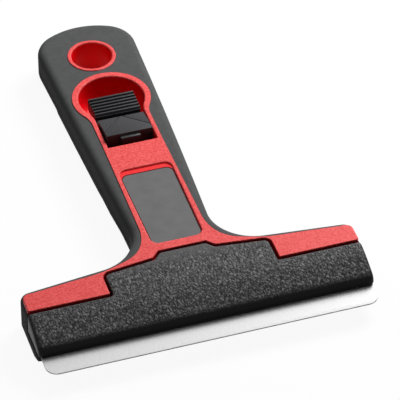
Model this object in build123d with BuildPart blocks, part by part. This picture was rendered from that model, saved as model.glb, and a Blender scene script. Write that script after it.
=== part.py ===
from build123d import *
import math
import os

os.makedirs("parts", exist_ok=True)

# A ceramic hob scraper that lies on its back, in millimetres. X runs along the blade,
# Y from the cutting edge to the hanging end and Z out of the front face, from the back.
# A value called reach is measured from the cutting edge, and a height from the back.

# The whole object
overall_length = 142.1
body_height = 12.4
split_height = 5.4
overrun = 2.0
edge_ease = 0.3

# The blade, a common 100 mm scraper blade with two open notches
blade_width = 100.0
blade_depth = 18.4
blade_gauge = 0.45
blade_corner = 3.5
blade_back_corner = 1.0
bevel_length = 0.9
bevel_drop = 0.16
blade_slack = 0.03
notch_clearance = 0.15

# The bed under the blade and its rivets
bed_gauge = 0.8
bed_lip_setback = 0.5
bed_corner = 1.2
bed_end_margin = 0.4
rivet_radius = 1.5
rivet_place_share = 0.3
rivet_notch_depth = 3.2
rivet_rise = 0.8
rivet_shank = 0.5
rivet_head_radius = 2.4
rivet_head_height = 0.5
rivet_room = 0.4

# The handle and the shoulders
head_margin = 0.65
handle_side = 3.6
waist_half_width = 11.5
flank_bulge = 0.4
crown_flatness = 6.6
crown_corner = 10.0
neck_fillet = 14.0
shoulder_end_rise = 0.6
shoulder_corner = 3.0
shoulder_lower_corner = 0.8

# The soft grip over the two halves
grip_side = 2.0
grip_front = 1.7
grip_drop = 0.3
grip_front_round = 2.4
grip_back = 1.2
grip_back_round = 3.8
face_round = 1.0
face_end_inset = 5.4
face_end_gauge = 1.5
face_tip_inset = 0.45
face_tip_corner = 2.2
face_tip_ease = 0.8
seam_ease = 0.3

# The hanging hole
hole_inset = 16.6
hole_radius = 6.35
hole_ring = 1.2

# The thumb well and the slot of the lever
well_inset = 38.05
well_radius = 10.2
well_rim = 1.9
well_floor = 3.6
well_round = 4.8
well_wall = 1.3
cup_gauge = 1.0
neck_blend = 9.0
slot_half_width = 7.8
slot_length = 22.45

# The red face between the soft grip's two sides
slot_cheek = 1.35
neck_grip_width = 1.9
face_neck_offset = 10.85
face_flare_shares = [
    (0.0113, 0.8332), (0.0730, 0.5181), (0.1627, 0.3395), (0.2805, 0.2345),
    (0.4067, 0.1481), (0.5470, 0.0990), (0.7405, 0.0617),
]
face_line_drop = 1.7
rim_round = 0.4
notch_rim_round = 0.25
face_edge_round = 0.25

# The badge
badge_gap = 11.2
badge_low_gap = 3.95
badge_top_side = 0.95
badge_low_side = 1.75
badge_corner = 2.4
badge_ledge = 1.8
badge_depth = 0.6
badge_gauge = 0.8
badge_clearance = 0.2

# The hollow between the halves
shell_wall = 1.8
ceiling_height = 9.2
floor_height = 2.4
cavity_low_gap = 4.55
nest_clearance = 0.3
moving_clearance = 0.6

# The front jaw
jaw_gap = 0.7
jaw_slope_depth = 12.3
jaw_nose_height = 3.0
jaw_nose_round = 3.0
jaw_crest_lead = 2.0
jaw_crest_round = 30.0
jaw_step_setback = 0.8
jaw_tab_share = 0.25
jaw_tab_corner = 1.8
jaw_tab_depth = 9.0
jaw_rise_half_width = 9.3
jaw_rise_depth = 1.9
jaw_top_half_width = 7.0
jaw_top_depth = 2.35
jaw_edge_round = 0.7
jaw_end_round = 1.5
jaw_rear_lift = 0.4
cover_gauge = 1.5
jaw_fit = 0.1

# The lower jaw under the bed
lower_lip_setback = 1.0
lower_lip_height = 3.7
keel_setback = 5.7
keel_height = 0.5
keel_skin = 1.5
keel_round = 20.0
lower_core_setback = 4.1
heel_round = 0.9
spade_flare = 9.5
spade_setback = 4.8
spade_corner = 5.0

# The lever, its pin and its saddles
pivot_gap = 9.55
pivot_height = 6.2
pin_radius = 1.5
pin_end_gap = 0.1
pin_end_ease = 0.2
pin_clearance = 0.05
knuckle_radius = 2.7
knuckle_play = 0.4
saddle_inner = 5.8
saddle_outer = 8.4
saddle_half_depth = 3.0
saddle_rise = 0.9
saddle_clearance = 0.02
keeper_half_depth = 1.3
arm_half_width = 4.0
arm_top_height = 8.5
arm_low_height = 4.7
arm_end_height = 7.9
arm_low_offset = 2.5
arm_foot_inset = 4.5
foot_half_width = 16.0
foot_low_setback = 2.3
foot_gauge = 1.7
foot_neck_gauge = 2.1

# The pad of the lever
pad_length = 21.1
pad_end_gap = 8.65
pad_under_height = 8.3
rib_count = 6
rib_pitch = 1.43
rib_top_share = 0.4
rib_foot_share = 0.7
rib_depth = 0.85
valley_length = 2.7
valley_depth = 2.1
panel_start_rise = 0.2
panel_end_rise = 1.9
arrow_line_width = 0.35
arrow_tip_half_width = 0.6
arrow_depth = 0.3
arrow_foot_share = 0.73
gusset_half_width = 3.05
gusset_depth = 1.2
gusset_drop = 0.9

# The spring under the lever
spring_place_share = 0.505
spring_radius = 2.3
spring_wire_radius = 0.3
spring_turns = 4
spring_seat_gap = 0.02
spring_post_play = 0.5
spring_post_height = 1.3
spring_pocket_play = 0.4
spring_pocket_height = 7.3

# The screws
screw_head_radius = 2.3
screw_head_height = 1.6
screw_head_ease = 0.4
screw_radius = 1.25
screw_length = 6.0
screw_point = 0.5
screw_slot_length = 2.4
screw_slot_width = 0.5
screw_slot_depth = 0.8
screw_hole_play = 0.25
screw_pilot_play = 0.02
counterbore_play = 0.4
boss_wall = 0.9
handle_seat_height = 3.4
head_seat_height = 3.8
handle_screw_half_spacing = 8.3
handle_screw_gap = 6.6
crown_screw_inset = 5.4
head_screw_share = 0.3543307
head_screw_setback = 5.4
jaw_screw_half_spacing = 11.0
jaw_screw_inset = 1.6
jaw_screw_head_radius = 1.8
jaw_screw_cone = 0.8
jaw_screw_radius = 1.0
jaw_screw_length = 3.6
jaw_screw_slot_length = 1.8
jaw_screw_slot_depth = 0.6

# Places that follow from the values above
head_half_width = blade_width / 2 + head_margin
face_end_half_width = head_half_width - face_end_inset
rivet_half_spacing = blade_width * rivet_place_share
jaw_tab_half_width = blade_width * jaw_tab_share
spade_half_width = waist_half_width + spade_flare
tab_to_end = head_half_width - jaw_tab_half_width
head_screw_half_spacing = jaw_tab_half_width + tab_to_end * head_screw_share
rivet_reach = blade_depth - rivet_notch_depth
jaw_step_reach = blade_depth + jaw_step_setback
jaw_lip_reach = jaw_step_reach - jaw_slope_depth
jaw_crest_reach = jaw_step_reach - jaw_crest_lead
jaw_tab_reach = jaw_step_reach + jaw_tab_depth
jaw_rise_reach = jaw_tab_reach + jaw_rise_depth
jaw_top_reach = jaw_rise_reach + jaw_top_depth
bed_lip_reach = jaw_lip_reach + bed_lip_setback
lower_lip_reach = jaw_lip_reach + lower_lip_setback
lower_core_reach = jaw_lip_reach + lower_core_setback
keel_reach = jaw_step_reach - keel_setback
spade_reach = jaw_step_reach + spade_setback
foot_low_reach = jaw_step_reach + foot_low_setback
foot_front_reach = jaw_tab_reach - cover_gauge - jaw_fit
jaw_screw_reach = foot_front_reach - jaw_screw_inset
head_screw_reach = jaw_step_reach + head_screw_setback
shoulder_lower_reach = jaw_step_reach + jaw_gap
shoulder_end_reach = jaw_tab_reach + shoulder_end_rise
shoulder_reach = jaw_top_reach + jaw_gap
face_line_reach = shoulder_end_reach - face_line_drop
face_neck_reach = jaw_top_reach + face_neck_offset
badge_low_reach = jaw_top_reach + badge_low_gap
cavity_low_reach = jaw_top_reach + cavity_low_gap
pivot_reach = jaw_top_reach + pivot_gap
arm_low_reach = pivot_reach + arm_low_offset
hole_reach = overall_length - hole_inset
well_reach = overall_length - well_inset
slot_reach = well_reach - slot_length
badge_top_reach = slot_reach - badge_gap
handle_screw_reach = slot_reach - handle_screw_gap
spring_reach = pivot_reach + (slot_reach - pivot_reach) * spring_place_share
handle_half_width = well_radius + well_rim + handle_side
crown_radius = handle_half_width + crown_flatness
face_top_half_width = slot_half_width + slot_cheek
face_neck_half_width = waist_half_width - neck_grip_width
face_tip_half_width = head_half_width - face_tip_inset
badge_top_half_width = face_top_half_width - badge_top_side
badge_low_half_width = face_neck_half_width - badge_low_side
crown_screw_reach = overall_length - crown_screw_inset
bed_height = split_height - blade_gauge - blade_slack
bed_under_height = bed_height - bed_gauge
jaw_under_height = split_height + blade_slack
jaw_rear_height = split_height + jaw_rear_lift
grip_height = body_height - grip_drop
core_height = grip_height - grip_front
badge_floor_height = body_height - badge_depth - badge_gauge
pad_far_reach = well_reach + well_radius - pad_end_gap
pad_near_reach = pad_far_reach - pad_length
rib_low_reach = pad_far_reach - rib_pitch * rib_count
panel_far_reach = rib_low_reach - valley_length
pad_half_width = slot_half_width - moving_clearance
arm_end_reach = pad_far_reach - arm_foot_inset
knuckle_half_length = saddle_inner - knuckle_play
pin_half_length = saddle_outer + pin_end_gap
bay_half_width = saddle_outer + moving_clearance
bay_half_depth = saddle_half_depth + moving_clearance
spring_post_radius = spring_radius - spring_wire_radius - spring_post_play
spring_pocket_radius = spring_radius + spring_wire_radius + spring_pocket_play
screw_hole_radius = screw_radius + screw_hole_play
counterbore_radius = screw_head_radius + counterbore_play
boss_radius = counterbore_radius + boss_wall
foot_top_height = jaw_rear_height + foot_gauge
foot_neck_top_height = jaw_rear_height + foot_neck_gauge
keel_slope = (lower_lip_height - keel_height) / (keel_reach - lower_lip_reach)
rivet_foot_height = bed_under_height - rivet_shank
rivet_places = [(-rivet_half_spacing, rivet_reach), (rivet_half_spacing, rivet_reach)]
handle_screws = [
    (-handle_screw_half_spacing, handle_screw_reach),
    (handle_screw_half_spacing, handle_screw_reach),
    (0, crown_screw_reach),
]
head_screws = [(-head_screw_half_spacing, head_screw_reach), (head_screw_half_spacing, head_screw_reach)]
jaw_screw_places = [(-jaw_screw_half_spacing, jaw_screw_reach), (jaw_screw_half_spacing, jaw_screw_reach)]


def at(x, reach):
    """A point of a plan, from the middle line and the cutting edge."""
    return (x, reach - overall_length / 2)


def side(reach, height):
    """A point of a section across the blade, on the YZ plane."""
    return (reach - overall_length / 2, height)


def level(height):
    """The plane of a plan at a height."""
    return Plane.XY.offset(height)


def corners(sketch, x, reach):
    """The two vertices nearest to a point of the plan and its mirror image."""
    places = [at(x, reach) + (0,), at(-x, reach) + (0,)]
    return [sketch.vertices().sort_by_distance(place)[0] for place in places]


def corner(sketch, reach, height):
    """The vertex nearest to a point of a section on the YZ plane."""
    return sketch.vertices().sort_by_distance(side(reach, height) + (0,))[0]


def drawn_in(sketch, inset):
    """A sketch whose outline is moved inwards by inset."""
    with BuildSketch() as moved:
        add(sketch)
        offset(amount=-inset, kind=Kind.INTERSECTION)
    return moved.sketch


def plan_distance(edge, sketch):
    """How far an edge's middle lies from a sketch, seen from above."""
    return Vertex(edge.center().X, edge.center().Y, 0).distance_to(sketch)


def rectangle(x_low, x_high, reach_low, reach_high, mode=Mode.ADD):
    """A rectangle in the sketch being drawn, between two corners of the plan."""
    with Locations(at((x_low + x_high) / 2, (reach_low + reach_high) / 2)):
        Rectangle(x_high - x_low, reach_high - reach_low, mode=mode)


def rectangles(x_low, x_high, reach_low, reach_high, mode=Mode.ADD):
    """A rectangle in the sketch being drawn, and its mirror image."""
    rectangle(x_low, x_high, reach_low, reach_high, mode)
    rectangle(-x_high, -x_low, reach_low, reach_high, mode)


def circles(radius, places, mode=Mode.ADD):
    """Circles in the sketch being drawn, at places of the plan."""
    with Locations([at(x, reach) for x, reach in places]):
        Circle(radius, mode=mode)


def polygon(points):
    """A closed outline in the sketch being drawn on the YZ plane."""
    Polygon(*[side(reach, height) for reach, height in points], align=None)


def tee_plan(lower_reach):
    """The handle with its neck and both shoulders, down to lower_reach."""
    drop = crown_radius - math.sqrt(crown_radius**2 - handle_half_width**2)
    half_drop = crown_radius - math.sqrt(crown_radius**2 - (handle_half_width / 2) ** 2)
    flank_reach = overall_length - drop
    middle_reach = (flank_reach + shoulder_reach) / 2
    middle_width = (handle_half_width + waist_half_width) / 2 + flank_bulge
    with BuildSketch() as plan:
        with BuildLine():
            crown = ThreePointArc(
                at(0, overall_length),
                at(handle_half_width / 2, overall_length - half_drop),
                at(handle_half_width, flank_reach),
            )
            flank = ThreePointArc(
                crown @ 1, at(middle_width, middle_reach), at(waist_half_width, shoulder_reach)
            )
            Polyline(
                flank @ 1,
                at(head_half_width, shoulder_end_reach),
                at(head_half_width, lower_reach),
                at(0, lower_reach),
            )
            mirror(about=Plane.YZ)
        make_face()
        fillet(corners(plan, handle_half_width, flank_reach), crown_corner)
        fillet(corners(plan, waist_half_width, shoulder_reach), neck_fillet)
        fillet(corners(plan, head_half_width, shoulder_end_reach), shoulder_corner)
        fillet(corners(plan, head_half_width, lower_reach), shoulder_lower_corner)
    return plan.sketch


def head_part(plan):
    """The part of a plan that lies on the head, up to the neck's corner."""
    with BuildSketch() as limits:
        rectangle(-blade_width, blade_width, 0, shoulder_reach)
    with BuildSketch() as head:
        add(plan)
        add(limits.sketch, mode=Mode.INTERSECT)
    return head.sketch


def spade_plan():
    """The thick part of the back: handle, neck and a round end on the head."""
    with BuildSketch() as limits:
        rectangle(-spade_half_width, spade_half_width, spade_reach, overall_length + overrun)
    with BuildSketch() as plan:
        add(tee_plan(lower_lip_reach))
        add(limits.sketch, mode=Mode.INTERSECT)
        fillet(corners(plan, spade_half_width, spade_reach), spade_corner)
    return plan.sketch


def jaw_plan():
    """The front jaw seen from above, down past the lip."""
    with BuildSketch() as plan:
        with BuildLine():
            Polyline(
                at(0, jaw_top_reach),
                at(jaw_top_half_width, jaw_top_reach),
                at(jaw_rise_half_width, jaw_rise_reach),
                at(jaw_tab_half_width, jaw_tab_reach),
                at(jaw_tab_half_width, jaw_step_reach),
                at(head_half_width, jaw_step_reach),
                at(head_half_width, jaw_lip_reach - overrun),
                at(0, jaw_lip_reach - overrun),
            )
            mirror(about=Plane.YZ)
        make_face()
        fillet(corners(plan, jaw_tab_half_width, jaw_tab_reach), jaw_tab_corner)
    return plan.sketch


def jaw_section(inset):
    """The front jaw cut across, drawn in by inset, on the YZ plane."""
    low = jaw_under_height - cover_gauge - overrun
    nose_height = jaw_under_height + jaw_nose_height
    with BuildSketch(Plane.YZ) as section:
        polygon([
            (jaw_lip_reach, low), (jaw_lip_reach, nose_height), (jaw_crest_reach, body_height),
            (jaw_top_reach + overrun, body_height), (jaw_top_reach + overrun, low),
        ])
        fillet(corner(section, jaw_lip_reach, nose_height), jaw_nose_round)
        fillet(corner(section, jaw_crest_reach, body_height), jaw_crest_round)
        if inset > 0:
            offset(amount=-inset, kind=Kind.INTERSECTION)
    return section.sketch_local


def keel_section(lift):
    """What lies under the lower jaw's curved bottom, lifted by lift, on the YZ plane."""
    low = keel_height + lift
    with BuildSketch(Plane.YZ) as section:
        polygon([
            (jaw_step_reach, low), (keel_reach, low), (0, low + keel_slope * keel_reach),
            (0, -overrun), (jaw_step_reach, -overrun),
        ])
        fillet(corner(section, keel_reach, low), keel_round)
    return section.sketch_local


def well_plan(wall):
    """The thumb well and the slot below it, widened by wall."""
    radius = well_radius + wall
    half_width = slot_half_width + wall
    joint_reach = well_reach - math.sqrt(radius**2 - half_width**2)
    with BuildSketch() as plan:
        circles(radius, [(0, well_reach)])
        rectangle(-half_width, half_width, slot_reach - wall, well_reach)
        fillet(corners(plan, half_width, joint_reach), neck_blend - wall)
    return plan.sketch


def face_plan():
    """The red face: hole ring, well rim, neck and shoulders up to the grip's edge."""
    rim_radius = well_radius + well_rim
    joint_reach = well_reach - math.sqrt(rim_radius**2 - face_top_half_width**2)
    with BuildSketch() as plan:
        with BuildLine():
            neck = Polyline(
                at(0, well_reach),
                at(face_top_half_width, well_reach),
                at(face_top_half_width, slot_reach),
                at(face_neck_half_width, face_neck_reach),
            )
            flare_width = face_end_half_width - face_neck_half_width
            flare_depth = face_neck_reach - face_line_reach
            flare = Spline([neck @ 1] + [
                at(face_neck_half_width + flare_width * x_share,
                   face_line_reach + flare_depth * reach_share)
                for x_share, reach_share in face_flare_shares
            ])
            Polyline(
                flare @ 1,
                at(face_end_half_width, face_line_reach),
                at(face_end_half_width, shoulder_lower_reach - overrun),
                at(0, shoulder_lower_reach - overrun),
            )
            mirror(about=Plane.YZ)
        make_face()
        circles(rim_radius, [(0, well_reach)])
        fillet(corners(plan, face_top_half_width, joint_reach), neck_blend)
        circles(hole_radius + hole_ring, [(0, hole_reach)])
    return plan.sketch


def face_tip_plan():
    """The strip that ends in the red face's two thin tips, which lie over the soft grip."""
    with BuildSketch() as plan:
        rectangle(
            -face_tip_half_width, face_tip_half_width, shoulder_lower_reach - overrun,
            face_line_reach,
        )
        fillet(corners(plan, face_tip_half_width, face_line_reach), face_tip_corner)
    return plan.sketch


def badge_plan(ledge, clearance):
    """The badge's rounded outline below its recess's ledge, drawn in by clearance."""
    top_reach = badge_top_reach - ledge - clearance
    low_reach = badge_low_reach + clearance
    with BuildSketch() as plan:
        with BuildLine():
            Polyline(
                at(0, top_reach),
                at(badge_top_half_width - clearance, top_reach),
                at(badge_low_half_width - clearance, low_reach),
                at(0, low_reach),
            )
            mirror(about=Plane.YZ)
        make_face()
        fillet(corners(plan, badge_top_half_width, top_reach), badge_corner - clearance)
        fillet(corners(plan, badge_low_half_width, low_reach), badge_corner - clearance)
    return plan.sketch


def core_sketch(lower_reach):
    """A half's hard core: its plan drawn in by the grip's thickness, but not at the jaw."""
    with BuildSketch() as plan:
        add(drawn_in(tee_plan(lower_reach), grip_side))
        half_width = head_half_width - grip_side
        rectangle(-half_width, half_width, lower_reach, lower_reach + grip_side * 2)
    return plan.sketch


front_plan = tee_plan(shoulder_lower_reach - overrun)
front_core_plan = core_sketch(shoulder_lower_reach)
jaw_outline = jaw_plan()
jaw_notch = drawn_in(jaw_outline, -jaw_gap)
red_face = face_plan()
face_tips = face_tip_plan()
well_outline = well_plan(0)
cavity_plan = drawn_in(front_plan, grip_side + shell_wall)
back_plan = tee_plan(lower_lip_reach)
spade = spade_plan()

# Blade: ground on its front edge, with an open notch round each rivet
with BuildPart() as blade:
    with BuildSketch(level(split_height - blade_gauge)) as blade_outline:
        rectangle(-blade_width / 2, blade_width / 2, 0, blade_depth)
        fillet(corners(blade_outline, blade_width / 2, 0), blade_corner)
        fillet(corners(blade_outline, blade_width / 2, blade_depth), blade_back_corner)
        circles(rivet_radius + notch_clearance, rivet_places, Mode.SUBTRACT)
        rectangles(
            rivet_half_spacing - rivet_radius - notch_clearance,
            rivet_half_spacing + rivet_radius + notch_clearance,
            rivet_reach, blade_depth + overrun, Mode.SUBTRACT,
        )
    extrude(amount=blade_gauge)
    with BuildSketch(Plane.YZ):
        polygon([
            (-overrun, split_height - bevel_drop * (1 + overrun / bevel_length)),
            (bevel_length, split_height),
            (bevel_length, split_height + overrun),
            (-overrun, split_height + overrun),
        ])
    extrude(amount=blade_width, both=True, mode=Mode.SUBTRACT)
blade.part.label = "blade"
export_step(blade.part, "parts/blade.step")

# Bed: a stamped steel plate under the blade
with BuildPart() as blade_bed:
    with BuildSketch(level(bed_under_height)) as bed_outline:
        half_width = blade_width / 2 - bed_end_margin
        rectangle(-half_width, half_width, bed_lip_reach, jaw_step_reach)
        fillet(bed_outline.vertices(), bed_corner)
        circles(rivet_radius, rivet_places, Mode.SUBTRACT)
    extrude(amount=bed_gauge)
blade_bed.part.label = "blade_bed"
export_step(blade_bed.part, "parts/blade_bed.step")

# Rivets: they hold the bed and stand up through the blade's notches
with BuildPart() as locating_rivets:
    with BuildSketch(level(rivet_foot_height)):
        circles(rivet_radius, rivet_places)
    extrude(amount=split_height + rivet_rise - rivet_foot_height)
    chamfer(locating_rivets.faces().group_by(Axis.Z)[-1].edges(), edge_ease)
    with BuildSketch(level(rivet_foot_height - rivet_head_height)):
        circles(rivet_head_radius, rivet_places)
    extrude(amount=rivet_head_height)
locating_rivets.part.label = "locating_rivets"
export_step(locating_rivets.part, "parts/locating_rivets.step")

# Thumb bowl: the round part of the well, with its hollowed foot
with BuildPart() as thumb_bowl:
    with BuildSketch(level(well_floor)):
        circles(well_radius, [(0, well_reach)])
    extrude(amount=body_height + overrun - well_floor)
    fillet(thumb_bowl.faces().sort_by(Axis.Z)[0].edges(), well_round)

# Front frame: the red half with its cup, ring, slot, badge recess and shoulders
with BuildPart() as front_frame:
    with BuildSketch(level(split_height)):
        add(front_plan)
    extrude(amount=body_height - split_height)
    fillet(front_frame.faces().sort_by(Axis.Z)[-1].outer_wire().edges(), face_round)
    # The soft grip's place beside the core, above the core and under the face's ends
    with BuildSketch(level(split_height)):
        add(front_plan)
        add(front_core_plan, mode=Mode.SUBTRACT)
        add(red_face, mode=Mode.SUBTRACT)
    extrude(amount=core_height - split_height, mode=Mode.SUBTRACT)
    with BuildSketch(level(core_height)):
        add(front_plan)
        add(red_face, mode=Mode.SUBTRACT)
    extrude(amount=body_height - face_end_gauge - core_height, mode=Mode.SUBTRACT)
    with BuildSketch(level(body_height - face_end_gauge)):
        add(front_plan)
        add(red_face, mode=Mode.SUBTRACT)
        add(face_tips, mode=Mode.SUBTRACT)
    extrude(amount=face_end_gauge, mode=Mode.SUBTRACT)
    # The hollow behind the face, open at the parting plane
    with BuildSketch(level(split_height)):
        add(cavity_plan)
        rectangle(
            -bay_half_width, bay_half_width, pivot_reach - bay_half_depth,
            pivot_reach + bay_half_depth,
        )
        add(well_plan(well_wall), mode=Mode.SUBTRACT)
        circles(hole_radius + hole_ring, [(0, hole_reach)], Mode.SUBTRACT)
        circles(boss_radius, handle_screws, Mode.SUBTRACT)
        rectangle(
            -head_half_width, head_half_width, shoulder_lower_reach - overrun, cavity_low_reach,
            Mode.SUBTRACT,
        )
        rectangles(
            saddle_inner, saddle_outer, pivot_reach - keeper_half_depth,
            pivot_reach + keeper_half_depth, Mode.SUBTRACT,
        )
    extrude(amount=ceiling_height - split_height, mode=Mode.SUBTRACT)
    with BuildSketch(level(split_height)):
        rectangles(
            saddle_inner, saddle_outer, pivot_reach - keeper_half_depth,
            pivot_reach + keeper_half_depth,
        )
    extrude(
        amount=pivot_height + pin_radius + saddle_clearance - split_height, mode=Mode.SUBTRACT
    )
    # The cup of the well, then the well, the slot and the arm's way through the cup
    with BuildSketch(level(well_floor - cup_gauge)):
        add(well_plan(well_wall))
    extrude(amount=split_height + cup_gauge - well_floor)
    add(thumb_bowl.part, mode=Mode.SUBTRACT)
    with BuildSketch(level(well_floor)):
        add(well_outline)
        circles(well_radius, [(0, well_reach)], Mode.SUBTRACT)
        rectangle(-slot_half_width, slot_half_width, slot_reach, pad_far_reach + moving_clearance)
    extrude(amount=body_height + overrun - well_floor, mode=Mode.SUBTRACT)
    with BuildSketch(level(well_floor - cup_gauge)):
        half_width = arm_half_width + moving_clearance
        rectangle(-half_width, half_width, slot_reach - well_wall, slot_reach + overrun)
    extrude(amount=ceiling_height + cup_gauge - well_floor, mode=Mode.SUBTRACT)
    # The lever's way out to the jaw, and the jaw's notch
    with BuildSketch(level(split_height)):
        half_width = knuckle_half_length + moving_clearance
        rectangle(-half_width, half_width, jaw_top_reach, cavity_low_reach + overrun)
    extrude(amount=ceiling_height - split_height, mode=Mode.SUBTRACT)
    with BuildSketch(level(split_height - overrun)):
        add(jaw_notch)
    extrude(amount=body_height - split_height + overrun * 2, mode=Mode.SUBTRACT)
    # The badge's recess, the hanging hole and the screws' pilot holes
    with BuildSketch(level(body_height - badge_depth)):
        add(badge_plan(0, 0))
    extrude(amount=badge_depth, mode=Mode.SUBTRACT)
    with BuildSketch(level(badge_floor_height)):
        add(badge_plan(badge_ledge, 0))
    extrude(amount=badge_gauge, mode=Mode.SUBTRACT)
    with BuildSketch(level(split_height)):
        circles(hole_radius, [(0, hole_reach)])
    extrude(amount=body_height - split_height, mode=Mode.SUBTRACT)
    with BuildSketch(level(split_height)):
        circles(screw_radius + screw_pilot_play, handle_screws)
    extrude(amount=handle_seat_height + screw_length + screw_point - split_height, mode=Mode.SUBTRACT)
    with BuildSketch(level(split_height)):
        circles(screw_radius + screw_pilot_play, head_screws)
    extrude(amount=head_seat_height + screw_length + screw_point - split_height, mode=Mode.SUBTRACT)
    # The tips' front corners, then soft rims round the openings and along the jaw's notch
    tip_corners = [
        at(x, shoulder_lower_reach) + (body_height,)
        for x in (-face_tip_half_width, face_tip_half_width)
    ]
    uprights = front_frame.edges().filter_by(Axis.Z)
    fillet([uprights.sort_by_distance(place)[0] for place in tip_corners], face_tip_ease)
    face_tops = front_frame.faces().group_by(Axis.Z)[-1]
    fillet([edge for face in face_tops for edge in face.inner_wires().edges()], rim_round)
    face_tops = front_frame.faces().group_by(Axis.Z)[-1]
    outer_edges = [edge for face in face_tops for edge in face.outer_wire().edges()]
    notch_rim = [edge for edge in outer_edges if plan_distance(edge, jaw_notch) < edge_ease]
    fillet(notch_rim, notch_rim_round)
    ring_top = front_frame.faces().group_by(Axis.Z)[-1].sort_by(Axis.Y)[-1]
    fillet(ring_top.outer_wire().edges(), face_edge_round)
front_frame.part.label = "front_frame"
export_step(front_frame.part, "parts/front_frame.step")

# Front grip: the soft skin over the front half's sides, neck and hanging end
with BuildPart() as front_grip:
    with BuildSketch(level(split_height)):
        add(front_plan)
    extrude(amount=grip_height - split_height)
    fillet(front_grip.faces().sort_by(Axis.Z)[-1].outer_wire().edges(), grip_front_round)
    chamfer(front_grip.faces().sort_by(Axis.Z)[0].outer_wire().edges(), seam_ease)
    with BuildSketch(level(split_height)):
        add(red_face)
    extrude(amount=body_height - split_height, mode=Mode.SUBTRACT)
    with BuildSketch(level(split_height)):
        add(front_core_plan)
    extrude(amount=core_height - split_height, mode=Mode.SUBTRACT)
    with BuildSketch(level(body_height - face_end_gauge)):
        add(face_tips)
    extrude(amount=face_end_gauge, mode=Mode.SUBTRACT)
    with BuildSketch(level(split_height)):
        add(jaw_notch)
    extrude(amount=body_height, mode=Mode.SUBTRACT)
front_grip.part.label = "front_grip"
export_step(front_grip.part, "parts/front_grip.step")

# Badge plate: a thin rounded plate glued into its recess
with BuildPart() as badge_plate:
    with BuildSketch(level(badge_floor_height)):
        add(badge_plan(badge_ledge, badge_clearance))
    extrude(amount=badge_gauge)
    chamfer(badge_plate.faces().sort_by(Axis.Z)[-1].edges(), edge_ease / 2)
badge_plate.part.label = "badge_plate"
export_step(badge_plate.part, "parts/badge_plate.step")

# Back core: the lower jaw's wedge and the handle's floor, before its hollow and holes
with BuildPart() as back_core:
    with BuildSketch(level(keel_height + keel_skin)):
        add(head_part(core_sketch(lower_core_reach)))
    extrude(amount=split_height - keel_height - keel_skin)
    with BuildSketch(Plane.YZ):
        add(keel_section(keel_skin))
    extrude(amount=blade_width, both=True, mode=Mode.SUBTRACT)
    with BuildSketch(level(grip_back)):
        add(drawn_in(spade, grip_side))
    extrude(amount=split_height - grip_back)
    with BuildSketch(level(0)):
        circles(hole_radius + hole_ring, [(0, hole_reach)])
    extrude(amount=split_height)

# Back frame: the red core of the back half, hollow, with saddles and screw seats
with BuildPart() as back_frame:
    add(back_core.part)
    with BuildSketch(level(floor_height)):
        add(cavity_plan)
        add(well_plan(well_wall + nest_clearance))
        rectangle(
            -bay_half_width, bay_half_width, pivot_reach - bay_half_depth,
            pivot_reach + bay_half_depth,
        )
        circles(hole_radius + hole_ring, [(0, hole_reach)], Mode.SUBTRACT)
        circles(boss_radius, handle_screws, Mode.SUBTRACT)
        rectangle(
            -head_half_width, head_half_width, shoulder_lower_reach - overrun,
            pivot_reach - bay_half_depth, Mode.SUBTRACT,
        )
        rectangles(
            saddle_inner, saddle_outer, pivot_reach - saddle_half_depth,
            pivot_reach + saddle_half_depth, Mode.SUBTRACT,
        )
        circles(spring_post_radius, [(0, spring_reach)], Mode.SUBTRACT)
    extrude(amount=split_height - floor_height, mode=Mode.SUBTRACT)
    with BuildSketch(level(floor_height + spring_post_height)):
        circles(spring_post_radius, [(0, spring_reach)])
    extrude(amount=split_height, mode=Mode.SUBTRACT)
    # The saddles stand up past the parting plane round the pin
    with BuildSketch(level(floor_height)):
        rectangles(
            saddle_inner, saddle_outer, pivot_reach - saddle_half_depth,
            pivot_reach + saddle_half_depth,
        )
    extrude(amount=pivot_height + saddle_rise - floor_height)
    with BuildSketch(Plane.YZ):
        with Locations(side(pivot_reach, pivot_height)):
            Circle(pin_radius + saddle_clearance)
        with Locations(side(pivot_reach, pivot_height + overrun / 2)):
            Rectangle((pin_radius + saddle_clearance) * 2, overrun)
    extrude(amount=bay_half_width, both=True, mode=Mode.SUBTRACT)
    # The bed's seat, the rivets' holes and the hanging hole
    with BuildSketch(level(bed_under_height)):
        rectangle(-blade_width, blade_width, 0, jaw_step_reach + bed_end_margin)
    extrude(amount=body_height, mode=Mode.SUBTRACT)
    with BuildSketch(level(0)):
        circles(rivet_radius, rivet_places)
        circles(hole_radius, [(0, hole_reach)])
    extrude(amount=split_height, mode=Mode.SUBTRACT)
    with BuildSketch(level(0)):
        circles(rivet_head_radius, rivet_places)
    extrude(amount=rivet_foot_height, mode=Mode.SUBTRACT)
    # The screws' clearance holes and counterbores
    with BuildSketch(level(0)):
        circles(screw_hole_radius, handle_screws + head_screws)
    extrude(amount=split_height, mode=Mode.SUBTRACT)
    with BuildSketch(level(0)):
        circles(counterbore_radius, handle_screws)
    extrude(amount=handle_seat_height, mode=Mode.SUBTRACT)
    with BuildSketch(level(0)):
        circles(counterbore_radius, head_screws)
    extrude(amount=head_seat_height, mode=Mode.SUBTRACT)
back_frame.part.label = "back_frame"
export_step(back_frame.part, "parts/back_frame.step")

# Back grip: the soft skin over the back half and under the lower jaw
with BuildPart() as handle_back:
    with BuildSketch(level(0)):
        add(spade)
    extrude(amount=split_height)
    fillet(handle_back.faces().sort_by(Axis.Z)[0].outer_wire().edges(), grip_back_round)

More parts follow.
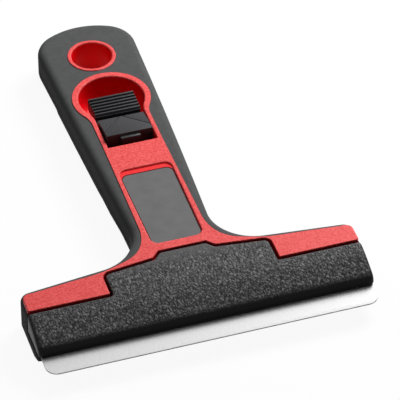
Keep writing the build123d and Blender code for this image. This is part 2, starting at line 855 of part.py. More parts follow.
with BuildPart() as back_grip:
    with BuildSketch(level(keel_height)):
        add(head_part(back_plan))
    extrude(amount=split_height - keel_height)
    keel_edges = back_grip.faces().sort_by(Axis.Z)[0].outer_wire().edges().sort_by(Axis.Y)
    fillet(keel_edges[1:-1], heel_round)
    add(handle_back.part)
    with BuildSketch(Plane.YZ):
        add(keel_section(0))
    extrude(amount=blade_width, both=True, mode=Mode.SUBTRACT)
    with BuildSketch(level(bed_under_height)):
        rectangle(-blade_width, blade_width, 0, jaw_step_reach + bed_end_margin)
    extrude(amount=body_height, mode=Mode.SUBTRACT)
    add(back_core.part, mode=Mode.SUBTRACT)
    with BuildSketch(level(0)):
        circles(counterbore_radius, handle_screws + head_screws)
        circles(rivet_head_radius, rivet_places, Mode.ADD)
    extrude(amount=head_seat_height, mode=Mode.SUBTRACT)
back_grip.part.label = "back_grip"
export_step(back_grip.part, "parts/back_grip.step")


# Press lever: the arm, its knuckle, the foot in the jaw and the ribbed pad in the well
with BuildPart() as press_lever:
    with BuildSketch(Plane.YZ):
        polygon([
            (pivot_reach, arm_low_height), (pivot_reach, arm_top_height),
            (arm_end_reach, arm_top_height), (arm_end_reach, arm_end_height),
            (arm_low_reach, arm_low_height),
        ])
    extrude(amount=arm_half_width, both=True)
    with BuildSketch(Plane.YZ):
        with Locations(side(pivot_reach, pivot_height)):
            Circle(knuckle_radius)
    extrude(amount=knuckle_half_length, both=True)
    with BuildSketch(level(jaw_rear_height)):
        rectangle(-knuckle_half_length, knuckle_half_length, foot_low_reach, pivot_reach)
    extrude(amount=foot_neck_gauge)
    with BuildSketch(level(jaw_rear_height)):
        rectangle(-foot_half_width, foot_half_width, foot_low_reach, foot_front_reach)
    extrude(amount=foot_gauge)
    with BuildSketch(Plane.YZ):
        with Locations(side(pivot_reach, pivot_height)):
            Circle(pin_radius + pin_clearance)
    extrude(amount=foot_half_width, both=True, mode=Mode.SUBTRACT)
    # The pad: a rising panel, a valley and a row of grip ribs
    with BuildSketch(Plane.YZ):
        panel_top_height = body_height + panel_end_rise
        valley_height = body_height - valley_depth
        rib_foot_height = body_height - rib_depth
        outline = [
            (pad_near_reach, pad_under_height), (pad_near_reach, panel_top_height),
            (panel_far_reach, body_height + panel_start_rise), (panel_far_reach, valley_height),
            (rib_low_reach, valley_height), (rib_low_reach, rib_foot_height),
        ]
        for index in range(rib_count):
            middle_reach = rib_low_reach + rib_pitch * (index + 1 / 2)
            half_foot = rib_pitch * rib_foot_share / 2
            half_top = rib_pitch * rib_top_share / 2
            outline += [
                (middle_reach - half_foot, rib_foot_height), (middle_reach - half_top, body_height),
                (middle_reach + half_top, body_height), (middle_reach + half_foot, rib_foot_height),
            ]
        outline += [(pad_far_reach, rib_foot_height), (pad_far_reach, pad_under_height)]
        polygon(outline)
    extrude(amount=pad_half_width, both=True)
    with BuildSketch(level(pad_under_height)):
        rectangle(-gusset_half_width, gusset_half_width, pad_near_reach - gusset_depth, pad_near_reach)
    extrude(amount=panel_top_height - gusset_drop - pad_under_height)
    # The plain arrow on the panel: two fine grooves that meet near the ribs
    run = panel_far_reach - pad_near_reach
    rise = panel_end_rise - panel_start_rise
    panel_length = math.hypot(run, rise)
    panel_plane = Plane(
        origin=(0,) + side(panel_far_reach, body_height + panel_start_rise),
        x_dir=(1, 0, 0),
        z_dir=(0, rise, run),
    )
    with BuildSketch(panel_plane):
        for hand in (-1, 1):
            Polygon(
                (hand * arrow_tip_half_width, 0),
                (hand * pad_half_width, -panel_length * arrow_foot_share),
                (hand * pad_half_width, -panel_length * arrow_foot_share - arrow_line_width),
                (hand * arrow_tip_half_width, -arrow_line_width),
                align=None,
            )
    extrude(amount=-arrow_depth, mode=Mode.SUBTRACT)
    # The spring's pocket and the countersunk holes of the foot
    with BuildSketch(level(arm_low_height)):
        circles(spring_pocket_radius, [(0, spring_reach)])
    extrude(amount=spring_pocket_height - arm_low_height, mode=Mode.SUBTRACT)
    with BuildSketch(level(jaw_rear_height)):
        circles(jaw_screw_radius + jaw_fit, jaw_screw_places)
    extrude(amount=foot_gauge, mode=Mode.SUBTRACT)
    with Locations([at(x, reach) + (jaw_rear_height,) for x, reach in jaw_screw_places]):
        Cone(
            jaw_screw_head_radius, jaw_screw_radius, jaw_screw_cone,
            align=(Align.CENTER, Align.CENTER, Align.MIN), mode=Mode.SUBTRACT,
        )
press_lever.part.label = "press_lever"
export_step(press_lever.part, "parts/press_lever.step")

# Jaw bar: the hard bar inside the jaw's cover, seated on the lever's foot
with BuildPart() as bar_block:
    with BuildSketch(Plane.YZ.offset(-head_half_width)):
        add(jaw_section(cover_gauge))
    extrude(amount=head_half_width * 2)
    with BuildSketch(level(jaw_under_height)):
        add(drawn_in(jaw_outline, cover_gauge))
    extrude(amount=body_height - jaw_under_height, mode=Mode.INTERSECT)

with BuildPart() as jaw_bar:
    add(bar_block.part)
    with BuildSketch(level(jaw_under_height)):
        rectangle(-head_half_width, head_half_width, jaw_step_reach, jaw_top_reach)
    extrude(amount=jaw_rear_height - jaw_under_height, mode=Mode.SUBTRACT)
    with BuildSketch(level(jaw_rear_height)):
        rectangle(
            -foot_half_width - jaw_fit, foot_half_width + jaw_fit,
            foot_low_reach - jaw_fit, foot_front_reach + jaw_fit,
        )
    extrude(amount=foot_gauge, mode=Mode.SUBTRACT)
    with BuildSketch(level(jaw_rear_height)):
        half_width = knuckle_half_length + jaw_fit
        rectangle(-half_width, half_width, foot_low_reach - jaw_fit, jaw_top_reach)
    extrude(amount=foot_neck_gauge, mode=Mode.SUBTRACT)
    with BuildSketch(level(foot_top_height)):
        circles(jaw_screw_radius + screw_pilot_play, jaw_screw_places)
    extrude(amount=jaw_screw_length + jaw_fit - foot_gauge, mode=Mode.SUBTRACT)
    with BuildSketch(level(jaw_under_height)):
        circles(rivet_radius + rivet_room, rivet_places)
    extrude(amount=rivet_rise + rivet_room, mode=Mode.SUBTRACT)
jaw_bar.part.label = "jaw_bar"
export_step(jaw_bar.part, "parts/jaw_bar.step")

# Jaw cover: the grained skin over the bar, with a rolled nose at the lip
with BuildPart() as jaw_shape:
    with BuildSketch(Plane.YZ):
        add(jaw_section(0))
    extrude(amount=head_half_width, both=True)
    end_faces = jaw_shape.faces().sort_by(Axis.X)
    end_edges = end_faces[0].edges() + end_faces[-1].edges()
    limit = jaw_under_height + jaw_nose_height / 2
    rim = end_edges.filter_by(lambda edge: edge.center().Z > limit)
    fillet(rim.filter_by(lambda edge: edge.center().Y < at(0, jaw_top_reach)[1]), jaw_end_round)

with BuildPart() as jaw_cover:
    with BuildSketch(level(jaw_under_height)):
        add(jaw_outline)
    extrude(amount=body_height - jaw_under_height)
    top_edges = jaw_cover.faces().sort_by(Axis.Z)[-1].edges()
    fillet(
        top_edges.filter_by(lambda edge: edge.center().Y > at(0, jaw_step_reach - edge_ease)[1]),
        jaw_edge_round,
    )
    add(jaw_shape.part, mode=Mode.INTERSECT)
    add(bar_block.part, mode=Mode.SUBTRACT)
    with BuildSketch(level(jaw_under_height)):
        rectangle(-blade_width, blade_width, jaw_step_reach, jaw_top_reach + overrun)
    extrude(amount=jaw_rear_height - jaw_under_height, mode=Mode.SUBTRACT)
    with BuildSketch(level(jaw_under_height)):
        half_width = knuckle_half_length + jaw_fit
        rectangle(-half_width, half_width, foot_low_reach, jaw_top_reach + overrun)
    extrude(amount=foot_neck_top_height - jaw_under_height, mode=Mode.SUBTRACT)
jaw_cover.part.label = "jaw_cover"
export_step(jaw_cover.part, "parts/jaw_cover.step")

# Jaw screws: countersunk, from under the foot into the bar
with BuildPart() as jaw_screws:
    with BuildSketch(level(jaw_rear_height)):
        circles(jaw_screw_radius, jaw_screw_places)
    extrude(amount=jaw_screw_length)
    chamfer(jaw_screws.faces().group_by(Axis.Z)[-1].edges(), edge_ease)
    with Locations([at(x, reach) + (jaw_rear_height,) for x, reach in jaw_screw_places]):
        Cone(
            jaw_screw_head_radius, jaw_screw_radius, jaw_screw_cone,
            align=(Align.CENTER, Align.CENTER, Align.MIN),
        )
    with BuildSketch(level(jaw_rear_height)):
        with Locations([at(x, reach) for x, reach in jaw_screw_places]):
            Rectangle(jaw_screw_slot_length, screw_slot_width)
            Rectangle(screw_slot_width, jaw_screw_slot_length)
    extrude(amount=jaw_screw_slot_depth, mode=Mode.SUBTRACT)
jaw_screws.part.label = "jaw_screws"
export_step(jaw_screws.part, "parts/jaw_screws.step")

# Pivot pin: a steel pin across the handle, trapped between the two halves
with BuildPart() as pivot_pin:
    with BuildSketch(Plane.YZ):
        with Locations(side(pivot_reach, pivot_height)):
            Circle(pin_radius)
    extrude(amount=pin_half_length, both=True)
    end_faces = pivot_pin.faces().sort_by(Axis.X)
    chamfer(end_faces[0].edges() + end_faces[-1].edges(), pin_end_ease)
pivot_pin.part.label = "pivot_pin"
export_step(pivot_pin.part, "parts/pivot_pin.step")

# Lever spring: an open coil between the back half's post and the lever's pocket
with BuildPart() as lever_spring:
    start_height = floor_height + spring_seat_gap + spring_wire_radius
    rise = spring_pocket_height - spring_seat_gap - spring_wire_radius - start_height
    with BuildLine():
        coil = Helix(
            pitch=rise / spring_turns, height=rise, radius=spring_radius,
            center=at(0, spring_reach) + (start_height,),
        )
    with BuildSketch(Plane(origin=coil @ 0, z_dir=coil % 0)):
        Circle(spring_wire_radius)
    sweep(path=coil, is_frenet=True)
lever_spring.part.label = "lever_spring"
turn_points = 36
wire_points = [
    coil @ (index / (spring_turns * turn_points)) for index in range(spring_turns * turn_points + 1)
]
wire_gaps = [
    (later - earlier).length
    for index, earlier in enumerate(wire_points)
    for later in wire_points[index + turn_points // 2:]
]
print("lever spring's least gap to itself:", round(min(wire_gaps) - spring_wire_radius * 2, 2))
export_step(lever_spring.part, "parts/lever_spring.step")


def cross_screws(places, seat_height):
    """Pan-head screws from the back with crossed slots, at places of the plan."""
    with BuildPart() as screws:
        with BuildSketch(level(seat_height - screw_head_height)):
            circles(screw_head_radius, places)
        extrude(amount=screw_head_height)
        chamfer(screws.faces().group_by(Axis.Z)[0].edges(), screw_head_ease)
        with BuildSketch(level(seat_height)):
            circles(screw_radius, places)
        extrude(amount=screw_length)
        chamfer(screws.faces().group_by(Axis.Z)[-1].edges(), screw_point)
        with BuildSketch(level(seat_height - screw_head_height)):
            with Locations([at(x, reach) for x, reach in places]):
                Rectangle(screw_slot_length, screw_slot_width)
                Rectangle(screw_slot_width, screw_slot_length)
        extrude(amount=screw_slot_depth, mode=Mode.SUBTRACT)
    return screws.part


handle_screw_set = cross_screws(handle_screws, handle_seat_height)
head_screw_set = cross_screws(head_screws, head_seat_height)

# Housing screws: three in the handle and two in the head
with BuildPart() as housing_screws:
    add(handle_screw_set)
    add(head_screw_set)
housing_screws.part.label = "housing_screws"
export_step(housing_screws.part, "parts/housing_screws.step")
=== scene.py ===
import bpy
import math
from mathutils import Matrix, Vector


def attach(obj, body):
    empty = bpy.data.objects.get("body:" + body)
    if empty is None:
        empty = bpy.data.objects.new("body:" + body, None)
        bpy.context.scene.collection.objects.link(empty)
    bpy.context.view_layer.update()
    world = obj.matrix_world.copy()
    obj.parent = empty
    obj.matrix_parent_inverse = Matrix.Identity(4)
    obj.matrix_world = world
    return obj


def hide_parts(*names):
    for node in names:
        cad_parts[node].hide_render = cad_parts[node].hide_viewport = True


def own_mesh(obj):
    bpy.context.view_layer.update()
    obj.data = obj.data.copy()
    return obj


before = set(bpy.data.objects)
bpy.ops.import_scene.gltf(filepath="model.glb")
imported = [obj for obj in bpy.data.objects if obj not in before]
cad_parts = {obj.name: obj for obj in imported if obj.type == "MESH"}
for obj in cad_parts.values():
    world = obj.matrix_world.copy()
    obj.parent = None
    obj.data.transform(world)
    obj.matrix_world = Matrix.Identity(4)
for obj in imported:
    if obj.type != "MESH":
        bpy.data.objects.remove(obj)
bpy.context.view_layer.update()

# Back frame: the hard red core of the back half. It is moulded in ABS, as the front frame is,
# and carries the bed, the lever's saddles, the spring's post and the screws' seats.
mm = 0.001
face_height = 12.4 * mm
red_deep = (0.68, 0.052, 0.050, 1)
red_bright = (0.90, 0.128, 0.124, 1)
red_bore = (0.86, 0.003, 0.008, 1)
red_mottle_size = 0.58 * mm
red_spark_size = 0.45 * mm
red_spark_depth = 0.09 * mm
red_face_roughness = 0.46
red_bore_roughness = 0.40
texture_fade = 0.35 * mm
red_gloss = 0.14
red_roughness_swing = 0.04
red_bore_bump = 0.08
red_face_bump = 0.8


def finish_named(name):
    """A new material with its shader, and the object coordinates that its patterns read."""
    material = bpy.data.materials.new(name)
    material.use_nodes = True
    coordinates = material.node_tree.nodes.new("ShaderNodeTexCoord")
    return material, material.node_tree.nodes["Principled BSDF"], coordinates.outputs["Object"]


def speckle(material, place, size, detail=2.0, stretch=(1, 1, 1)):
    """Noise whose blots are about as large as size, longer along an axis that is stretched."""
    tree = material.node_tree
    mapping = tree.nodes.new("ShaderNodeMapping")
    mapping.inputs["Scale"].default_value = [1 / (size * share) for share in stretch]
    noise = tree.nodes.new("ShaderNodeTexNoise")
    noise.inputs["Scale"].default_value = 1
    noise.inputs["Detail"].default_value = detail
    tree.links.new(place, mapping.inputs["Vector"])
    tree.links.new(mapping.outputs["Vector"], noise.inputs["Vector"])
    return noise.outputs["Fac"]


def blended(material, factor, first, second, low=0.3, high=0.7):
    """A colour between two, as factor goes from low to high."""
    ramp = material.node_tree.nodes.new("ShaderNodeValToRGB")
    ramp.color_ramp.elements[0].position = low
    ramp.color_ramp.elements[0].color = first
    ramp.color_ramp.elements[1].position = high
    ramp.color_ramp.elements[1].color = second
    material.node_tree.links.new(factor, ramp.inputs["Fac"])
    return ramp.outputs["Color"]


def spread(material, factor, low, high, from_low=0.3, from_high=0.7):
    """A number between two, as factor goes from one value to another."""
    mapped = material.node_tree.nodes.new("ShaderNodeMapRange")
    mapped.inputs["From Min"].default_value = from_low
    mapped.inputs["From Max"].default_value = from_high
    mapped.inputs["To Min"].default_value = low
    mapped.inputs["To Max"].default_value = high
    material.node_tree.links.new(factor, mapped.inputs["Value"])
    return mapped.outputs["Result"]


def grained(material, shader, height, depth, strength=1.0):
    """Bump of a real depth on a shader. The strength may be a number or a socket."""
    bump = material.node_tree.nodes.new("ShaderNodeBump")
    bump.inputs["Distance"].default_value = depth
    if isinstance(strength, float):
        bump.inputs["Strength"].default_value = strength
    else:
        material.node_tree.links.new(strength, bump.inputs["Strength"])
    material.node_tree.links.new(height, bump.inputs["Height"])
    material.node_tree.links.new(bump.outputs["Normal"], shader.inputs["Normal"])


def red_plastic():
    """Red plastic: a fine sparkled texture on the face, and polished walls below it."""
    material, shader, place = finish_named("red_plastic")
    tree = material.node_tree
    shader.inputs["Specular IOR Level"].default_value = red_gloss
    mottle = speckle(material, place, red_mottle_size)
    axes = tree.nodes.new("ShaderNodeSeparateXYZ")
    tree.links.new(place, axes.inputs["Vector"])
    fade_top = face_height - texture_fade
    textured = spread(material, axes.outputs["Z"], 0, 1, fade_top - texture_fade, fade_top)
    colour = tree.nodes.new("ShaderNodeMixRGB")
    colour.inputs["Color1"].default_value = red_bore
    tree.links.new(blended(material, mottle, red_deep, red_bright), colour.inputs["Color2"])
    tree.links.new(textured, colour.inputs["Fac"])
    tree.links.new(colour.outputs["Color"], shader.inputs["Base Color"])
    roughness = spread(material, textured, red_bore_roughness, red_face_roughness, 0, 1)
    varied = tree.nodes.new("ShaderNodeMath")
    varied.operation = "ADD"
    tree.links.new(roughness, varied.inputs[0])
    swing = spread(material, mottle, -red_roughness_swing, red_roughness_swing)
    tree.links.new(swing, varied.inputs[1])
    tree.links.new(varied.outputs["Value"], shader.inputs["Roughness"])
    sparks = speckle(material, place, red_spark_size)
    bump_share = spread(material, textured, red_bore_bump, red_face_bump, 0, 1)
    grained(material, shader, sparks, red_spark_depth, bump_share)
    return material


def dressed(node_name, material):
    """Gives a CAD node its material and leaves its shape as it is."""
    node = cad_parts[node_name]
    node.data.materials.clear()
    node.data.materials.append(material)


red = red_plastic()
dressed("back_frame", red)

# Back grip: soft-touch TPE moulded over the back half's handle, and over the lower jaw.
# It is dark grey and dull, with the fine skin that an eroded mould leaves.
grip_dark = (0.080, 0.081, 0.082, 1)
grip_light = (0.096, 0.097, 0.098, 1)
grip_mottle_size = 1.6 * mm
grip_skin_size = 0.18 * mm
grip_skin_depth = 0.008 * mm
grip_skin_bump = 0.6
grip_mottle_detail = 4.0
grip_smooth_roughness = 0.62
grip_dull_roughness = 0.74
grip_gloss = 0.02


def soft_touch():
    """Dull dark grey rubber with a fine eroded skin."""
    material, shader, place = finish_named("soft_grip")
    tree = material.node_tree
    mottle = speckle(material, place, grip_mottle_size, grip_mottle_detail)
    tree.links.new(blended(material, mottle, grip_dark, grip_light), shader.inputs["Base Color"])
    roughness = spread(material, mottle, grip_smooth_roughness, grip_dull_roughness)
    tree.links.new(roughness, shader.inputs["Roughness"])
    shader.inputs["Specular IOR Level"].default_value = grip_gloss
    skin = speckle(material, place, grip_skin_size)
    grained(material, shader, skin, grip_skin_depth, grip_skin_bump)
    return material


soft = soft_touch()
dressed("back_grip", soft)

# Bed and rivets: a stamped steel plate that the blade lies on, and two turned rivets
# that hold the plate and stand up through the blade's open notches.
bed_steel_dark = (0.50, 0.51, 0.52, 1)
bed_steel_light = (0.64, 0.65, 0.66, 1)
bed_scratch_size = 0.12 * mm
bed_roughness = 0.30
steel_streak_detail = 3.0
steel_roughness_swing = 0.1
steel_scratch_depth_share = 1 / 40
steel_bump = 0.3


def plain_steel(name, dark, light, scratch_size, roughness, stretch=(8, 1, 1)):
    """Drawn or stamped steel with fine streaks along its longer stretch."""
    material, shader, place = finish_named(name)
    tree = material.node_tree
    streaks = speckle(material, place, scratch_size, steel_streak_detail, stretch)
    tree.links.new(blended(material, streaks, dark, light), shader.inputs["Base Color"])
    rougher = roughness + steel_roughness_swing
    tree.links.new(spread(material, streaks, roughness, rougher), shader.inputs["Roughness"])
    shader.inputs["Metallic"].default_value = 1
    grained(material, shader, streaks, scratch_size * steel_scratch_depth_share, steel_bump)
    return material


bed_steel = plain_steel(
    "bed_steel", bed_steel_dark, bed_steel_light, bed_scratch_size, bed_roughness,
)
dressed("blade_bed", bed_steel)
dressed("locating_rivets", bed_steel)

# Blade: a 100 mm strip of hardened steel, satin ground, with a narrow ground bevel
# along its front edge. The stone leaves fine lines across the strip.
blade_dark = (0.45, 0.45, 0.45, 1)
blade_light = (0.53, 0.53, 0.53, 1)
# Painted shade: the front edge strip is coloured dark to stand for the bevel's dark reflection.
blade_edge_painted_shade = (0.16, 0.16, 0.165, 1)
blade_scratch_size = 0.14 * mm
blade_edge_y = -71.05 * mm
painted_edge_shade_width = 0.22 * mm
blade_metal_share = 0.35
blade_roughness = 0.50
blade_line_stretch = (1, 9, 1)
blade_steel = plain_steel(
    "blade_steel", blade_dark, blade_light, blade_scratch_size, blade_roughness, blade_line_stretch,
)


def satin_metal_and_painted_edge_shade(material):
    """Paints a dark reflection, as shade, on a narrow strip at the blade's ground front edge, and
    dulls its metal to a satin grey.
    """
    tree = material.node_tree
    shader = tree.nodes["Principled BSDF"]
    shader.inputs["Metallic"].default_value = blade_metal_share
    strip = shader.inputs["Base Color"].links[0].from_socket
    axes = tree.nodes.new("ShaderNodeSeparateXYZ")
    tree.links.new(tree.nodes["Texture Coordinate"].outputs["Object"], axes.inputs["Vector"])
    # Mixes the painted dark reflection into the steel's colour along the front edge strip.
    colour = tree.nodes.new("ShaderNodeMixRGB")
    colour.inputs["Color1"].default_value = blade_edge_painted_shade
    tree.links.new(strip, colour.inputs["Color2"])
    edge_end_y = blade_edge_y + painted_edge_shade_width
    edge_shade_fade = spread(material, axes.outputs["Y"], 0, 1, blade_edge_y, edge_end_y)
    tree.links.new(edge_shade_fade, colour.inputs["Fac"])
    tree.links.new(colour.outputs["Color"], shader.inputs["Base Color"])


satin_metal_and_painted_edge_shade(blade_steel)
dressed("blade", blade_steel)

# Pivot pin: a ground steel pin that lies in the saddles across the handle, held down
# by the front half. The lever's arm rocks on it.
dressed("pivot_pin", bed_steel)

# Lever spring: an open coil of drawn wire that pushes the lever's arm up and the jaw down.
# It stands on the back half's post, and the arm presses it shorter as the lever goes down.
wire_dark = (0.42, 0.43, 0.44, 1)
wire_light = (0.55, 0.56, 0.57, 1)
wire_scratch_size = 0.1 * mm
wire_roughness = 0.28
wire_line_stretch = (1, 1, 3)
wire_smooth_angle = math.radians(50)
merge_distance = 0.002 * mm
flat_face_angle = math.radians(0.5)


def merged_copy(node_name, piece_name):
    """A new piece with a copy of a CAD node's mesh, merged, and with flat faces made whole."""
    bpy.ops.object.select_all(action="DESELECT")
    piece = bpy.data.objects.new(piece_name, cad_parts[node_name].data.copy())
    bpy.context.collection.objects.link(piece)
    bpy.context.view_layer.objects.active = piece
    piece.select_set(True)
    bpy.ops.object.mode_set(mode="EDIT")
    bpy.ops.mesh.select_all(action="SELECT")
    bpy.ops.mesh.remove_doubles(threshold=merge_distance)
    bpy.ops.mesh.dissolve_limited(angle_limit=flat_face_angle)
    bpy.ops.object.mode_set(mode="OBJECT")
    return piece


coil = merged_copy("lever_spring", "lever_coil")
bpy.ops.object.shade_smooth_by_angle(angle=wire_smooth_angle)
coil.data.materials.clear()
coil.data.materials.append(
    plain_steel(
        "spring_steel", wire_dark, wire_light, wire_scratch_size, wire_roughness, wire_line_stretch,
    ),
)
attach(coil, "handle")
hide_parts("lever_spring")
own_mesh(coil)

# Press lever: one black acetal moulding. Its ribbed pad stands in the thumb well, its arm
# rocks on the pin, and its foot lies in the jaw. All its edges are a little rounded.
lever_black = (0.012, 0.012, 0.014, 1)
lever_grey = (0.021, 0.021, 0.024, 1)
lever_mottle_size = 0.5 * mm
lever_mottle_detail = 3.0
lever_smooth_roughness = 0.36
lever_dull_roughness = 0.46
lever_gloss = 0.26
lever_bump_depth = lever_mottle_size / 60
lever_bump = 0.5
lever_edge_round = 0.12 * mm
lever_edge_segments = 3
lever_edge_angle = math.radians(28)
lever_smooth_angle = math.radians(40)


def applied(piece, kind, **settings):
    """Adds a modifier with its settings to a piece, and applies it."""
    bpy.context.view_layer.objects.active = piece
    modifier = piece.modifiers.new(kind.lower(), kind)
    for name, value in settings.items():
        setattr(modifier, name, value)
    bpy.ops.object.modifier_apply(modifier=modifier.name)


def black_acetal():
    """Black satin plastic, a little uneven in its gloss."""
    material, shader, place = finish_named("lever_plastic")
    mottle = speckle(material, place, lever_mottle_size, lever_mottle_detail)
    tree = material.node_tree
    tree.links.new(blended(material, mottle, lever_black, lever_grey), shader.inputs["Base Color"])
    shader.inputs["Specular IOR Level"].default_value = lever_gloss
    roughness = spread(material, mottle, lever_smooth_roughness, lever_dull_roughness)
    tree.links.new(roughness, shader.inputs["Roughness"])
    grained(material, shader, mottle, lever_bump_depth, lever_bump)
    return material


acetal = black_acetal()
lever = merged_copy("press_lever", "lever_body")
applied(
    lever, "BEVEL", width=lever_edge_round, segments=lever_edge_segments, limit_method="ANGLE",
    angle_limit=lever_edge_angle, use_clamp_overlap=True, miter_outer="MITER_ARC",
)
bpy.ops.object.shade_smooth_by_angle(angle=lever_smooth_angle)
lever.data.materials.clear()
lever.data.materials.append(acetal)
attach(lever, "rocker")
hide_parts("press_lever")

# Jaw bar: the hard black bar inside the jaw's cover, which presses on the blade.
# It is moulded of the lever's acetal and screwed on the lever's foot.
dressed("jaw_bar", acetal)

# Jaw cover: a black skin moulded over the bar. It is grained like leather on its slope,
# smooth along its upper edges, and rolled round the lip that wipes the blade.
# These skin colours are painted light: near black is painted shade in the creases and on the roll,
# and grey is a painted highlight on the crests.
painted_crease_shade = (0.005, 0.005, 0.005, 1)
painted_crest_highlight = (0.22, 0.22, 0.22, 1)
painted_shade_at = 0.12
painted_highlight_at = 0.80
skin_smooth_roughness = 0.34
skin_dull_roughness = 0.44
skin_gloss = 0.09
skin_voxel = 0.38 * mm
skin_smoothing = 0.5
skin_smooth_rounds = 2
fine_face_lean = 0.4
grain_low_lean = 0.55
grain_lean_range = 0.37
least_grain = 0.12
skin_low_height = 6.6 * mm
wrinkle_cell = (0.44 * mm, 1.05 * mm, 1.0 * mm)
wrinkle_turn = math.radians(16)
wrinkle_depth = 0.26 * mm
wrinkle_middle = 0.4
pore_size = 0.22 * mm
pore_depth = 0.03 * mm
pore_detail = 3.0
pore_stretch = (1, 2, 1)
pore_bump = 0.6
tab_half_width = 25 * mm
tab_top_y = -38.6 * mm
tab_fade = 7.0 * mm
shoulder_edge_y = -51.85 * mm
shoulder_band = 0.9 * mm


def leather_skin():
    """Black grained skin with fine pores. Its colour carries painted light: greyer on the crests as
    a painted highlight, and black in the creases and on the downturned roll as painted shade.
    """
    material, shader, place = finish_named("jaw_skin")
    tree = material.node_tree
    painted_crest_light = tree.nodes.new("ShaderNodeAttribute")
    painted_crest_light.attribute_name = "painted_crest_light"
    height = painted_crest_light.outputs["Fac"]
    colour = blended(material, height, painted_crease_shade, painted_crest_highlight, painted_shade_at, painted_highlight_at)
    tree.links.new(colour, shader.inputs["Base Color"])
    pores = speckle(material, place, pore_size, pore_detail, pore_stretch)
    roughness = spread(material, pores, skin_smooth_roughness, skin_dull_roughness)
    tree.links.new(roughness, shader.inputs["Roughness"])
    shader.inputs["Specular IOR Level"].default_value = skin_gloss
    grained(material, shader, pores, pore_depth, pore_bump)
    return material


def wrinkle_pattern():
    """The pattern of the grain: rounded crests between sharp creases."""
    pattern = bpy.data.textures.new("wrinkles", "CLOUDS")
    pattern.noise_type = "HARD_NOISE"
    pattern.noise_scale = 1.0
    pattern.noise_depth = 1
    return pattern


def upper_share(normal):
    """1 on the slope, 0 on the roll below it, and between them where the skin turns down."""
    return max(0, min(1, (normal.z - grain_low_lean) / grain_lean_range))


def grain_share(vertex):
    """How deep the grain is at a vertex: none on the roll, little by the upper edges."""
    if vertex.co.z < skin_low_height:
        return 0
    if abs(vertex.co.x) < tab_half_width:
        inland = (tab_top_y - vertex.co.y) / tab_fade
    else:
        inland = (shoulder_edge_y - vertex.co.y) / shoulder_band
    return upper_share(vertex.normal) * min(1, max(least_grain, inland))


cover = merged_copy("jaw_cover", "jaw_skin_cover")
applied(cover, "REMESH", mode="VOXEL", voxel_size=skin_voxel, use_smooth_shade=True)
applied(cover, "SMOOTH", factor=skin_smoothing, iterations=skin_smooth_rounds)
bpy.ops.object.mode_set(mode="EDIT")
bpy.ops.mesh.select_mode(type="FACE")
bpy.ops.mesh.select_all(action="DESELECT")
bpy.ops.object.mode_set(mode="OBJECT")
for face in cover.data.polygons:
    face.select = face.center.z > skin_low_height and face.normal.z > fine_face_lean
bpy.ops.object.mode_set(mode="EDIT")
bpy.ops.mesh.subdivide(number_cuts=1)
bpy.ops.object.mode_set(mode="OBJECT")
rough = cover.vertex_groups.new(name="grained")
for vertex in cover.data.vertices:
    rough.add([vertex.index], grain_share(vertex), "REPLACE")
bpy.ops.object.empty_add(location=(0, 0, 0), rotation=(0, 0, wrinkle_turn))
cell = bpy.context.object
cell.scale = wrinkle_cell
bpy.context.view_layer.update()
smooth_places = [vertex.co.copy() for vertex in cover.data.vertices]
outward = [vertex.normal.copy() for vertex in cover.data.vertices]
applied(
    cover, "DISPLACE", texture=wrinkle_pattern(), texture_coords="OBJECT",
    texture_coords_object=cell, strength=wrinkle_depth, mid_level=wrinkle_middle,
    vertex_group="grained",
)
bpy.data.objects.remove(cell)
cover.vertex_groups.clear()
# Each vertex gets a painted light value. It is high on raised grain as a painted highlight, low in
# the creases as painted shade, and zero on the roll that faces down, also as painted shade.
crest_light_values = cover.data.attributes.new("painted_crest_light", "FLOAT", "POINT")
grown = zip(cover.data.vertices, smooth_places, outward, crest_light_values.data)
for vertex, place, direction, height in grown:
    rise = (vertex.co - place).dot(direction) / wrinkle_depth
    height.value = (wrinkle_middle + rise) * upper_share(direction)
cover.data.materials.clear()
cover.data.materials.append(leather_skin())
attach(cover, "rocker")
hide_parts("jaw_cover")

# Jaw screws: two small countersunk screws from under the lever's foot into the bar.
# They are steel with a dull zinc plating.
zinc_dark = (0.46, 0.47, 0.48, 1)
zinc_light = (0.58, 0.59, 0.60, 1)
zinc_bloom_size = 0.4 * mm
zinc_roughness = 0.32
zinc = plain_steel(
    "screw_steel", zinc_dark, zinc_light, zinc_bloom_size, zinc_roughness, (1, 1, 1),
)
dressed("jaw_screws", zinc)

# Front frame: the red front half, one moulding with the hole's sleeve, the thumb well,
# the lever's slot, the badge's recess and the shoulders beside the jaw.
dressed("front_frame", red)

# Front grip: the same soft skin moulded over the front half's sides, round the well
# and the hole, and as a thin line along the shoulders.
dressed("front_grip", soft)

# Badge plate: a thin plate of grey plastic glued into its recess on the neck.
# Its face is plain and bare.
badge_dark = (0.104, 0.104, 0.105, 1)
badge_light = (0.128, 0.128, 0.129, 1)
badge_mottle_size = 4.0 * mm
badge_cloud_detail = 3.0
badge_smooth_roughness = 0.46
badge_dull_roughness = 0.56
badge_gloss = 0.2
badge_skin_size = 0.2 * mm
badge_skin_depth = badge_skin_size / 40
badge_skin_bump = 0.4


def badge_grey():
    """Plain dark grey plastic with a faint cloudy sheen."""
    material, shader, place = finish_named("badge_grey")
    tree = material.node_tree
    cloud = speckle(material, place, badge_mottle_size, badge_cloud_detail)
    tree.links.new(blended(material, cloud, badge_dark, badge_light), shader.inputs["Base Color"])
    roughness = spread(material, cloud, badge_smooth_roughness, badge_dull_roughness)
    tree.links.new(roughness, shader.inputs["Roughness"])
    shader.inputs["Specular IOR Level"].default_value = badge_gloss
    skin = speckle(material, place, badge_skin_size)
    grained(material, shader, skin, badge_skin_depth, badge_skin_bump)
    return material


dressed("badge_plate", badge_grey())

# Housing screws: five zinc-plated screws that hold the two halves together.
# They are driven from the back and cut their own threads in the front half's bosses.
dressed("housing_screws", zinc)

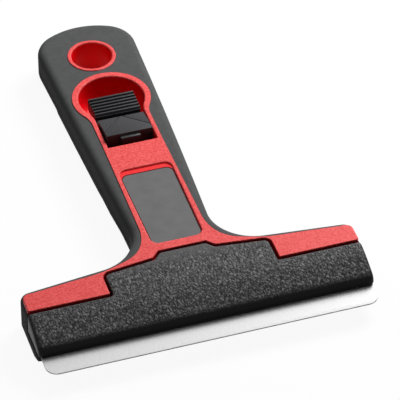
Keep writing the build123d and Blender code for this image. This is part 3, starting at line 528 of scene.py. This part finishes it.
# Floor: a plain pale table top. The camera sees it white, with the object's faint shadow.
floor_width = 3.0
floor_clear = 0.1 * mm
floor_pale = (0.25, 0.25, 0.25, 1)
floor_white = (0.93, 0.93, 0.93, 1)
floor_glow_share = 0.93
floor_roughness = 0.9
bpy.ops.object.select_all(action="DESELECT")
bpy.ops.mesh.primitive_plane_add(size=floor_width, location=(0, 0, -floor_clear))
floor = bpy.context.object
floor.name = "floor"


def seen_directly(tree):
    """1 where a camera ray, a reflection or a refraction looks, and 0 for the light itself."""
    path = tree.nodes.new("ShaderNodeLightPath")
    seen = path.outputs["Is Camera Ray"]
    for kind in ("Is Glossy Ray", "Is Transmission Ray"):
        either = tree.nodes.new("ShaderNodeMath")
        either.operation = "MAXIMUM"
        tree.links.new(seen, either.inputs[0])
        tree.links.new(path.outputs[kind], either.inputs[1])
        seen = either.outputs["Value"]
    return seen


def table_top():
    """A dull pale top that looks white where it is seen, and keeps a little of each shadow."""
    material, shader, place = finish_named("table_top")
    tree = material.node_tree
    seen = seen_directly(tree)
    shader.inputs["Roughness"].default_value = floor_roughness
    shader.inputs["Specular IOR Level"].default_value = 0
    colour = blended(material, seen, floor_pale, floor_white, 0, 1)
    tree.links.new(colour, shader.inputs["Base Color"])
    glow = tree.nodes.new("ShaderNodeEmission")
    mixed = tree.nodes.new("ShaderNodeMixShader")
    tree.links.new(spread(material, seen, 0, floor_glow_share, 0, 1), mixed.inputs["Fac"])
    tree.links.new(shader.outputs["BSDF"], mixed.inputs[1])
    tree.links.new(glow.outputs["Emission"], mixed.inputs[2])
    tree.links.new(mixed.outputs["Shader"], tree.nodes["Material Output"].inputs["Surface"])
    return material


floor.data.materials.append(table_top())

# Light: a large soft lamp above, behind and to the right, a weaker one overhead,
# and a pale studio round them that is white only where it is seen.
studio_strength = 0.05
key_place = Vector((0.27, 0.185, 0.325))
key_width = 0.21
key_power = 2.5
top_place = Vector((-0.05, 0.26, 0.72))
top_width = 0.5
top_power = 1.3


def soft_lamp(name, place, width, power):
    """A square soft lamp that faces the object."""
    bpy.ops.object.light_add(type="AREA", location=place)
    lamp = bpy.context.object
    lamp.name = name
    lamp.data.size = width
    lamp.data.energy = power
    lamp.rotation_euler = (-place).to_track_quat("-Z", "Y").to_euler()


soft_lamp("key_lamp", key_place, key_width, key_power)
soft_lamp("top_lamp", top_place, top_width, top_power)
studio = bpy.data.worlds.new("studio")
studio.use_nodes = True
backdrop = studio.node_tree.nodes["Background"]
backdrop.inputs["Color"].default_value = (1, 1, 1, 1)
seen_strength = spread(studio, seen_directly(studio.node_tree), studio_strength, 1, 0, 1)
studio.node_tree.links.new(seen_strength, backdrop.inputs["Strength"])
bpy.context.scene.world = studio
bpy.context.scene.view_settings.view_transform = "Standard"

# Camera: a long lens from the front left and above, fitted to the photograph's outlines.
azimuth = math.radians(-17.9)
elevation = math.radians(41.56)
camera_distance = 0.9805
image_width = 400
sensor_width = 36
focal_pixels = 3312.9
camera_target = Vector((0.01125, 0.05049 - 0.07105, 0.0124))
camera_back = Vector((
    math.sin(azimuth) * math.cos(elevation),
    -math.cos(azimuth) * math.cos(elevation),
    math.sin(elevation),
))
bpy.ops.object.camera_add(location=camera_target + camera_back * camera_distance)
camera = bpy.context.object
camera.rotation_euler = (-camera_back).to_track_quat("-Z", "Y").to_euler()
camera.data.sensor_width = sensor_width
camera.data.lens = focal_pixels / image_width * sensor_width
camera.data.clip_start = 10 * mm
bpy.context.scene.camera = camera
